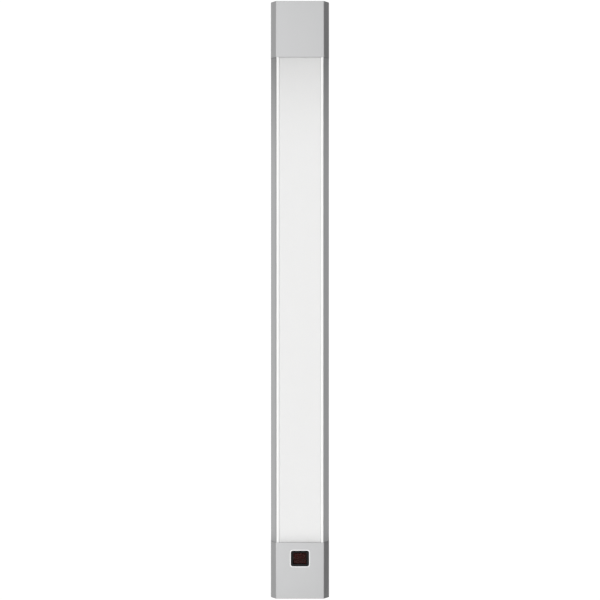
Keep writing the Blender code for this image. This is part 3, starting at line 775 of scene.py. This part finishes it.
def make_inductor():
    x, d, z = span("inductor")
    radius, height = (x[1] - x[0]) / 2, d[1] - d[0]
    spot = place(middle(x), d[0], middle(z))
    made = Build()
    foot = [(radius * 0.5, 0.0), (radius, 0.0), (radius, 1.0), (radius * 0.5, 1.0)]
    made.turn(foot, spot, "-Y", "ferrite")
    head = [(radius * 0.5, height - 1.0), (radius, height - 1.0), (radius, height)]
    made.turn(head + [(radius * 0.25, height), (radius * 0.2, height - 0.3)], spot, "-Y", "ferrite")
    turns = 11
    pitch = (height - 2.0) / turns
    coil = []
    for i in range(turns):
        low = 1.0 + i * pitch
        coil += [(radius - 0.66, low + 0.02), (radius - 0.44, low + pitch * 0.28)]
        coil += [(radius - 0.38, low + pitch * 0.5)]
        coil += [(radius - 0.44, low + pitch * 0.72), (radius - 0.66, low + pitch - 0.02)]
    made.turn(coil, spot, "-Y", "copper_winding", ease=0)
    made.done("inductor_fine", "inductor")


def make_fuse():
    x, d, z = span("fuse")
    radius = (d[1] - d[0]) / 2
    level = middle(d)
    made = Build()
    start = place(x[0], level, middle(z))
    length = x[1] - x[0]
    made.turn([(radius * 0.85, 1.2), (radius * 0.85, length - 1.2)], start, "+X", "fuse_ceramic")
    for low, high in ((0.0, 1.9), (length - 1.9, length)):
        cap = [(0.35, low), (radius - 0.1, low), (radius, low + 0.1)]
        cap += [(radius, high - 0.1), (radius - 0.1, high), (0.35, high)]
        made.turn(cap, start, "+X", "tinned_metal", ease=0.08)
    for end, out in ((x[0], -1.2), (x[1], 1.2)):
        route = [(end - out * 0.2, level, middle(z)), (end + out, level, middle(z))]
        route += [(end + out, d[0] - 0.3, middle(z))]
        made.tube(route, 0.32, "tinned_metal", 0.7)
    made.done("fuse_fine", "fuse")


# ---------------------------------------------------------------- terminals


def make_terminal_block():
    x, d, z = span("terminal_block")
    grooves = Build()
    at = middle(z)
    parting = ((x[0] - 1.0, x[1] + 1.0), (d[1] - 0.5, d[1] + 1.0), (at - 0.25, at + 0.25))
    grooves.box(*parting, "white_nylon", 0.04)
    pole = z[1] - at
    for at in (z[0] + pole / 2, z[1] - pole / 2):
        notch = ((x[0] + 0.8, x[0] + 2.2), (d[1] - 0.6, d[1] + 1.0), (at - 1.6, at + 1.6))
        grooves.box(*notch, "white_nylon", 0.1)
    skin("terminal_block", 0.12, tool=grooves)
    made = Build()
    for node in ("button_live", "button_neutral"):
        at = middle(span(node)[2])
        made.box((x[1] - 6.4, x[1] - 5.6), (3.6, 7.4), (at - 1.6, at + 1.6), "tinned_metal", 0.1)
        made.box((-20.0, -18.0), (10.6, 11.4), (at - 0.8, at + 0.8), "tinned_metal", 0.15)
    made.done("terminal_contacts", "terminal_block", replace=False)


def make_button(node):
    x, d, z = span(node)
    slot = Build()
    limits = ((x[0] + 0.9, x[1] - 0.9), (d[1] - 0.5, d[1] + 1.0), (middle(z) - 0.35, middle(z) + 0.35))
    slot.box(*limits, SLOT_OF[node], 0.08)
    skin(node, 0.15, tool=slot)


def make_connector():
    x, d, z = span("sensor_connector")
    made = Build()
    made.box(x, d, (z[0], z[1] - 1.2), "white_nylon", 0.3)
    made.box((x[0] + 0.4, x[1] - 0.4), (d[0] + 0.5, d[1] - 0.5), (z[1] - 1.4, z[1]), "white_nylon", 0.2)
    latch = ((x[0] + 1.6, x[1] - 1.6), (d[0] - 0.12, d[0] + 0.6), (z[0] + 1.0, z[1] - 1.6))
    made.box(*latch, "white_nylon", 0.15)
    for i in range(4):
        at = x[0] + 1.0 + 1.2 * i
        pin = ((at - 0.3, at + 0.3), (d[0] + 0.9, d[0] + 1.7), (z[1] - 0.4, z[1] + 0.08))
        made.box(*pin, "tinned_metal", 0.06)
    made.done("sensor_connector_fine", "sensor_connector")


def make_board_link():
    x, d, z = span("board_link")
    made = Build()
    made.box(x, d, (z[0] + 0.5, z[1] - 0.5), "white_nylon", 0.3)
    for i in (-1, 1):
        for side, end in ((-1, z[0]), (1, z[1])):
            low, high = sorted((end, end - side * 0.9))
            tail = ((i * 3.0 - 0.6, i * 3.0 + 0.6), (d[0], d[0] + 0.35), (low, high))
            made.box(*tail, "tinned_metal", 0.08)
            level = (d[1] - 0.2, d[1] + 0.02)
            mouth = ((i * 2.0 - 0.9, i * 2.0 + 0.9), level, (side * 1.5 - 0.4, side * 1.5 + 0.4))
            made.box(*mouth, "black_matte", 0.05)
    made.done("board_link_fine", "board_link")


def make_grommet():
    x, d, z = span("cable_grommet")
    spot = place(middle(x), 0.0, middle(z))
    ring = [(0.02, 0.9), (1.0, 0.9), (1.15, 0.75), (1.35, 0.9), (2.2, 0.9), (2.35, 0.75), (2.55, 0.9)]
    ring += [(3.2, 0.8), (3.7, 0.12), (5.2, 0.12), (5.2, 2.12), (6.9, 2.12), (6.9, 2.9), (6.5, 3.38)]
    ring += [(4.0, 3.38), (3.4, 1.5), (0.02, 1.5)]
    made = Build()
    made.turn(ring, spot, "-Y", "grommet_rubber", steps=56, ease=0.15)
    made.done("cable_grommet_fine", "cable_grommet")


# ---------------------------------------------------------------- leads


def make_leads():
    base = span("driver_board")[1][0] + BOARD_THICKNESS
    over = base + 0.6
    block_end = span("terminal_block")[2][0]
    for node in ("mains_lead_live", "mains_lead_neutral"):
        x = middle(span(node)[0])
        made = Build()
        route = [(x, 10.5, block_end - 0.3), (x, 10.5, MAINS_ROW), (x, over + 0.9, MAINS_ROW)]
        made.tube(route, 0.8, SLOT_OF[node])
        made.tube([(x, over + 1.2, MAINS_ROW), (x, base + 0.1, MAINS_ROW)], 0.42, "copper_winding")
        made.done(node + "_fine", node)
    for node in ("led_lead_positive", "led_lead_negative"):
        x = middle(span(node)[0])
        top = span("led_board_upper")[1][1] - LED_HEIGHT
        made = Build()
        route = [(x, over + 0.6, OUTPUT_ROW), (x, 15.4, OUTPUT_ROW), (x, 15.4, 232.4)]
        route += [(x, 14.3, 230.6), (x, 14.25, 229.6)]
        made.tube(route, 0.7, SLOT_OF[node], 2.5)
        made.tube([(x, over + 0.9, OUTPUT_ROW), (x, base + 0.1, OUTPUT_ROW)], 0.38, "copper_winding")
        made.tube([(x, 14.25, 229.8), (x, 14.1, 228.7), (x, top + 0.3, 227.6)], 0.38, "copper_winding")
        solder = [(1.0, 0.0), (0.75, 0.3), (0.3, 0.6)]
        made.turn(solder, place(x, top, 227.9), "-Y", "tinned_metal", steps=20)
        made.done(node + "_fine", node)
    x, d, z = span("sensor_lead")
    side = -14.3
    route = [(-12.2, 6.9, z[0]), (-12.2, 6.9, -244.0), (side, 5.65, -239.0), (side, 5.65, 235.8)]
    route += [(side, 9.3, 238.6), (side, 9.3, 240.8), (side, 8.5, 243.0)]
    made = Build()
    made.tube(route, 1.2, "wire_grey", 2.5)
    for i, tint in enumerate(("wire_red", "wire_black", "white_nylon")):
        u = side + (i - 1) * 0.75
        core = [(side + (i - 1) * 0.4, 8.6, 242.8), (u, 7.9, 243.9), (u, base + 0.1, 244.4)]
        made.tube(core, 0.3, tint, 0.6, 10)
    made.done("sensor_lead_fine", "sensor_lead")


# ---------------------------------------------------------------- hand sensor

# The part of the bezel that lies hidden behind the cap, all round
BEZEL_FLANGE = 1.5


def rim_loops(centre_z, width, height, radius, section):
    """Loops round a window: each (inset, depth) point of the section becomes one rounded rectangle."""
    loops = []
    for inset, depth in section:
        corner = max(radius - inset, 0.3)
        outline = rounded_rectangle(0.0, centre_z, width - 2 * inset, height - 2 * inset, corner)
        loops.append([place(x, depth, z) for x, z in outline])
    return loops


def make_window():
    x, d, z = span("sensor_bezel")
    at = middle(z)
    width, height = x[1] - x[0] - 2 * BEZEL_FLANGE, z[1] - z[0] - 2 * BEZEL_FLANGE
    section = [(-BEZEL_FLANGE, d[0]), (-BEZEL_FLANGE, d[0] + 1.2), (0.0, d[0] + 1.3)]
    section += [(0.0, d[1] - 0.55)]
    section += [(0.1, d[1] - 0.25), (0.35, d[1] - 0.06), (0.8, d[1]), (1.2, d[1] - 0.05)]
    section += [(1.6, d[1] - 0.3), (1.85, d[1] - 0.7), (2.0, d[1] - 1.2), (2.0, d[0])]
    made = Build()
    made.rings(rim_loops(at, width, height, 1.5, section), "black_gloss", around=True)
    made.done("sensor_bezel_fine", "sensor_bezel")

    x, d, z = span("sensor_window")
    section = [(0.1, d[0]), (0.0, d[0] + 0.1), (0.0, d[1] - 0.3), (0.08, d[1] - 0.1), (0.3, d[1])]
    made = Build()
    made.rings(rim_loops(at, x[1] - x[0], z[1] - z[0], 0.6, section), "ir_red_acrylic")
    made.done("sensor_window_fine", "sensor_window")

    # A thin lip round the window opening, coloured lighter than the cap as a painted highlight.
    front = span("sensor_end_cap")[1][1]
    section = [(-0.85, front - 0.3), (-0.85, front), (-0.7, front + 0.05), (-0.1, front + 0.05)]
    section += [(0.02, front - 0.1), (0.02, front - 0.9)]
    made = Build()
    lip = rim_loops(at, width + 0.6, height + 0.6, 1.8, section)
    made.rings(lip, "highlit_window_lip", around=True)
    made.done("highlit_window_lip", "sensor_end_cap", replace=False)


def make_eyes():
    x, d, z = span("ir_emitter")
    spot = place(middle(x), d[0], middle(z))
    dome = [(1.0, 0.0), (1.9, 0.0), (1.9, 0.8), (1.5, 0.8), (1.5, 3.1), (1.42, 3.6), (1.2, 4.1)]
    dome += [(0.85, 4.45), (0.4, 4.65), (0.02, 4.7)]
    made = Build()
    made.turn(dome, spot, "-Y", "emitter_epoxy", ease=0.1)
    u, v = middle(x), middle(z)
    made.box((u - 0.5, u + 0.3), (d[0] + 0.9, d[0] + 2.6), (v - 0.3, v + 0.3), "tinned_metal", 0.1)
    made.done("ir_emitter_fine", "ir_emitter")

    x, d, z = span("ir_receiver")
    made = Build()
    made.box(x, (d[0], d[0] + 1.9), z, "receiver_epoxy", 0.2)
    lens = [(1.5, 0.0), (1.5, 1.8), (1.4, 2.2), (1.1, 2.6), (0.6, 2.9), (0.02, 3.0)]
    made.turn(lens, place(middle(x), d[0] + 0.5, middle(z)), "-Y", "receiver_epoxy", ease=0.1)
    made.done("ir_receiver_fine", "ir_receiver")


# ---------------------------------------------------------------- moulded bases and clips


def make_base(node):
    """The moulded floor, with a groove inside its rim and faint ejector marks on the rear face."""
    x, d, z = span(node)
    at = middle(z)
    marks = Build()
    width, height = x[1] - x[0], z[1] - z[0]
    section = [(3.0, -1.0), (3.0, 0.35), (3.8, 0.35), (3.8, -1.0)]
    marks.rings(rim_loops(at, width, height, 2.0, section), "moulded_grey", around=True)
    for u in (-18.0, 18.0):
        for v in (-16.0, 16.0):
            near_grommet = node == "wiring_end_base" and u > 0 and v > 0
            if not near_grommet:
                spot = place(u, 0.0, at + v)
                marks.turn([(2.2, -1.0), (2.2, 0.16)], spot, "-Y", "moulded_grey", steps=32, ease=0)
    skin(node, 0.15, tool=marks)


for node in NODES:
    if "screw" in node:
        make_screw(node)
for node in ("led_board_upper", "led_board_lower"):
    make_led_board(node)
for node in ("wiring_end_base", "sensor_end_base"):
    make_base(node)
for node in ("button_live", "button_neutral"):
    make_button(node)
make_capacitor("bulk_capacitor", 20)
make_capacitor("output_capacitor", 200)
skin_diffuser()
skin_housing()
make_driver_board()
make_sensor_board()
make_transformer()
make_inductor()
make_fuse()
make_terminal_block()
make_connector()
make_board_link()
make_grommet()
make_leads()
make_window()
make_eyes()
for node in ("wiring_end_cap", "sensor_end_cap", "light_baffle", "driver_insulation", "cord_clamp_bar"):
    skin(node)
for node in ("mount_clip_upper", "mount_clip_lower"):
    skin(node)


# ---------------------------------------------------------------- stage

# The stage is laid out in metres
FLOOR_Z = -0.9
FLOOR_RADIUS = 0.6
LIGHT_SIZE = (0.7, 1.2)
CAMERA_PLACE = (0.00005, -1.185, -0.0002)
CAMERA_LENS = 72.57
# Strengths of light. The last two are seen by the camera only
WORLD_FRONT = 0.85
WORLD_LEFT = 0.56
WORLD_RIGHT = 0.13
WORLD_BACK = 0.60
WORLD_SEEN = 1.05
FLOOR_GLOW = 0.6


def make_floor():
    mesh = bpy.data.meshes.new("floor")
    work = bmesh.new()
    bmesh.ops.create_circle(work, cap_ends=True, segments=96, radius=FLOOR_RADIUS)
    bmesh.ops.translate(work, verts=work.verts, vec=(0.0, 0.0, FLOOR_Z))
    work.to_mesh(mesh)
    work.free()
    floor = bpy.data.objects.new("floor", mesh)
    bpy.context.scene.collection.objects.link(floor)
    material = bpy.data.materials.new("floor")
    material.use_nodes = True
    shader = material.node_tree.nodes["Principled BSDF"]
    shader.inputs["Base Color"].default_value = (0.85, 0.85, 0.85, 1)
    shader.inputs["Roughness"].default_value = 0.9
    shader.inputs["Specular IOR Level"].default_value = 0.1
    shader.inputs["Emission Color"].default_value = (1, 1, 1, 1)
    path = material.node_tree.nodes.new("ShaderNodeLightPath")
    glow = ramp(material.node_tree, path, "Is Camera Ray", 0.0, 1.0, 0.0, FLOOR_GLOW, smooth=False)
    link(material.node_tree, glow, "Result", shader, "Emission Strength")
    mesh.materials.append(material)


def make_world():
    """White to the camera. As light: bright in front, softer on the left, dim on the right."""
    world = bpy.data.worlds.new("studio")
    bpy.context.scene.world = world
    world.use_nodes = True
    tree = world.node_tree
    tree.nodes.clear()
    coords = tree.nodes.new("ShaderNodeTexCoord")
    split = tree.nodes.new("ShaderNodeSeparateXYZ")
    link(tree, coords, "Generated", split, "Vector")
    front = ramp(tree, split, "Y", -0.75, 0.05, WORLD_FRONT, 0.0)
    side = ramp(tree, split, "X", -1.0, 1.0, WORLD_LEFT, WORLD_RIGHT, smooth=False)
    back = ramp(tree, split, "Y", 0.35, 0.9, 0.0, WORLD_BACK)
    level = add_levels(tree, front.outputs["Result"], side.outputs["Result"])
    level = add_levels(tree, level, back.outputs["Result"])
    room = tree.nodes.new("ShaderNodeBackground")
    room.inputs["Color"].default_value = (1, 1, 1, 1)
    tree.links.new(level, room.inputs["Strength"])
    white = tree.nodes.new("ShaderNodeBackground")
    white.inputs["Color"].default_value = (1, 1, 1, 1)
    white.inputs["Strength"].default_value = WORLD_SEEN
    path = tree.nodes.new("ShaderNodeLightPath")
    mix = tree.nodes.new("ShaderNodeMixShader")
    output = tree.nodes.new("ShaderNodeOutputWorld")
    link(tree, path, "Is Camera Ray", mix, "Fac")
    tree.links.new(room.outputs[0], mix.inputs[1])
    tree.links.new(white.outputs[0], mix.inputs[2])
    tree.links.new(mix.outputs[0], output.inputs["Surface"])


def make_light(name, location, target, power):
    data = bpy.data.lights.new(name, "AREA")
    data.shape = "RECTANGLE"
    data.size, data.size_y = LIGHT_SIZE
    data.energy = power
    light = bpy.data.objects.new(name, data)
    light.location = location
    aim = Vector(target) - Vector(location)
    light.rotation_euler = aim.to_track_quat("-Z", "Y").to_euler()
    light.visible_camera = False
    light.visible_glossy = False
    bpy.context.scene.collection.objects.link(light)


def make_camera():
    data = bpy.data.cameras.new("camera")
    data.sensor_width = 36.0
    data.lens = CAMERA_LENS
    camera = bpy.data.objects.new("camera", data)
    camera.location = CAMERA_PLACE
    camera.rotation_euler = (math.pi / 2, 0.0, 0.0)
    bpy.context.scene.collection.objects.link(camera)
    bpy.context.scene.camera = camera


make_floor()
make_world()
make_light("key", (-0.75, -1.3, -0.35), (0.0, 0.0, -0.05), 5.0)
make_light("fill", (0.7, -1.5, 0.1), (0.0, 0.0, 0.0), 2.0)
make_camera()
bpy.context.scene.view_settings.view_transform = "Standard"
